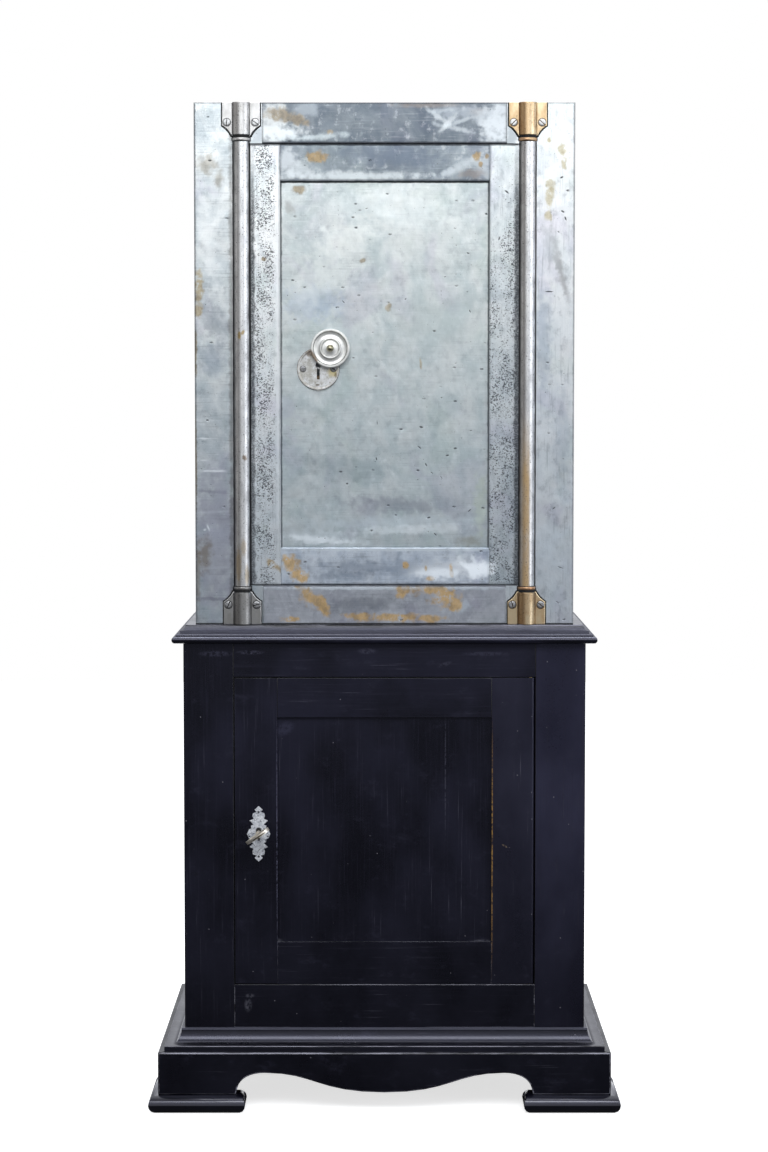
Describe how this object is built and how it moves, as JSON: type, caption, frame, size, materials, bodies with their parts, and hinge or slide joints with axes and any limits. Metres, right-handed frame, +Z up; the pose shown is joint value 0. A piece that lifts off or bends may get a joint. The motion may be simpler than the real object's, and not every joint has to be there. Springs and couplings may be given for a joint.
{
  "type": "safe on cupboard stand",
  "caption": "Tall iron safe with a column-hung door and swinging keyhole cover, standing on its own ebonised cupboard with a locking door, mouldings and bracket feet.",
  "frame": {"origin": "on the floor, under the middle of the overall box", "axes": "+Z up, the front faces -Y, +X to the right as seen from the front"},
  "size_m": [0.704, 0.502, 1.5],
  "materials": {
    "steel": "burnished bluish-grey plate steel with small pits and brown stains",
    "pale_steel": "burnished sheet steel, slightly greener and smoother",
    "brass": "polished cast brass with brown shading",
    "nickel": "polished white metal with yellowish tarnish specks",
    "dark_iron": "dark unpolished iron",
    "ebonised_wood": "wood stained near black, waxed to a bluish satin, worn along the edges",
    "plain_wood": "unfinished softwood",
    "fire_filling": "dull rammed sawdust with a mineral salt"
  },
  "bodies": {
    "cabinet": {"foot_pad_front_left": "ebonised_wood", "foot_pad_front_right": "ebonised_wood", "foot_pad_rear_left": "ebonised_wood", "foot_pad_rear_right": "ebonised_wood", "plinth_front": "ebonised_wood", "plinth_left": "ebonised_wood", "plinth_right": "ebonised_wood", "plinth_back": "plain_wood", "base_moulding": "ebonised_wood", "cupboard_side_left": "ebonised_wood", "cupboard_side_right": "ebonised_wood", "cupboard_floor": "plain_wood", "cupboard_back": "plain_wood", "face_stile_left": "ebonised_wood", "face_stile_right": "ebonised_wood", "face_rail_top": "ebonised_wood", "face_rail_bottom": "ebonised_wood", "pivot_bottom": "brass", "pivot_top": "brass", "cupboard_top": "ebonised_wood", "safe_shell": "steel", "frame_stile_left": "steel", "frame_stile_right": "steel", "frame_rail_top": "steel", "frame_rail_bottom": "steel", "lining": "pale_steel", "fire_filling": "fire_filling", "column_left": "steel", "bracket_top_left": "pale_steel", "bracket_bottom_left": "pale_steel", "bracket_top_right": "brass", "bracket_bottom_right": "brass", "bracket_top_left_screw_left": "nickel", "bracket_top_left_screw_right": "nickel", "bracket_bottom_left_screw_left": "nickel", "bracket_bottom_left_screw_right": "nickel", "bracket_top_right_screw_left": "nickel", "bracket_top_right_screw_right": "nickel", "bracket_bottom_right_screw_left": "nickel", "bracket_bottom_right_screw_right": "nickel"},
    "cupboard_door": {"cupboard_door_stile_left": "ebonised_wood", "cupboard_door_stile_right": "ebonised_wood", "cupboard_door_rail_top": "ebonised_wood", "cupboard_door_rail_bottom": "ebonised_wood", "cupboard_door_panel": "ebonised_wood", "cupboard_escutcheon": "nickel", "cupboard_lock_case": "dark_iron"},
    "cupboard_key": {"cupboard_key": "nickel"},
    "cupboard_lock_bolt": {"cupboard_lock_bolt": "dark_iron"},
    "safe_door": {"column_right": "steel", "door_plate": "pale_steel", "door_stile_left": "steel", "door_stile_right": "steel", "door_rail_top": "steel", "door_rail_bottom": "steel", "door_back_case": "dark_iron", "door_lock_case": "dark_iron", "door_escutcheon": "nickel"},
    "keyhole_cover": {"keyhole_cover": "nickel"},
    "safe_bolts": {"safe_bolts": "pale_steel"}
  },
  "joints": [
    {"name": "safe_door_hinge", "type": "hinge", "parent": "cabinet", "child": "safe_door", "pos_m": [0.212, -0.184, 1.1135], "axis": [0, 0, 1], "range_deg": [0, 165]},
    {"name": "keyhole_cover_swing", "type": "hinge", "parent": "safe_door", "child": "keyhole_cover", "pos_m": [-0.0985, -0.1838, 1.1287], "axis": [0, 1, 0], "range_deg": [0, 117.6]},
    {"name": "safe_bolt_throw", "type": "slide", "parent": "safe_door", "child": "safe_bolts", "axis": [-1, 0, 0], "range_m": [0, 0.018]},
    {"name": "cupboard_door_hinge", "type": "hinge", "parent": "cabinet", "child": "cupboard_door", "pos_m": [0.2183, -0.194, 0.417], "axis": [0, 0, 1], "range_deg": [0, 100]},
    {"name": "cupboard_key_turn", "type": "hinge", "parent": "cupboard_door", "child": "cupboard_key", "pos_m": [-0.1883, -0.199, 0.416], "axis": [0, -1, 0], "range_deg": [0, 270]},
    {"name": "cupboard_bolt_throw", "type": "slide", "parent": "cupboard_door", "child": "cupboard_lock_bolt", "axis": [-1, 0, 0], "range_m": [0, 0.01]}
  ],
  "couplings": [
    {"joint": "cupboard_bolt_throw", "follows": "cupboard_key_turn", "m_per_rad": 0.002122}
  ]
}
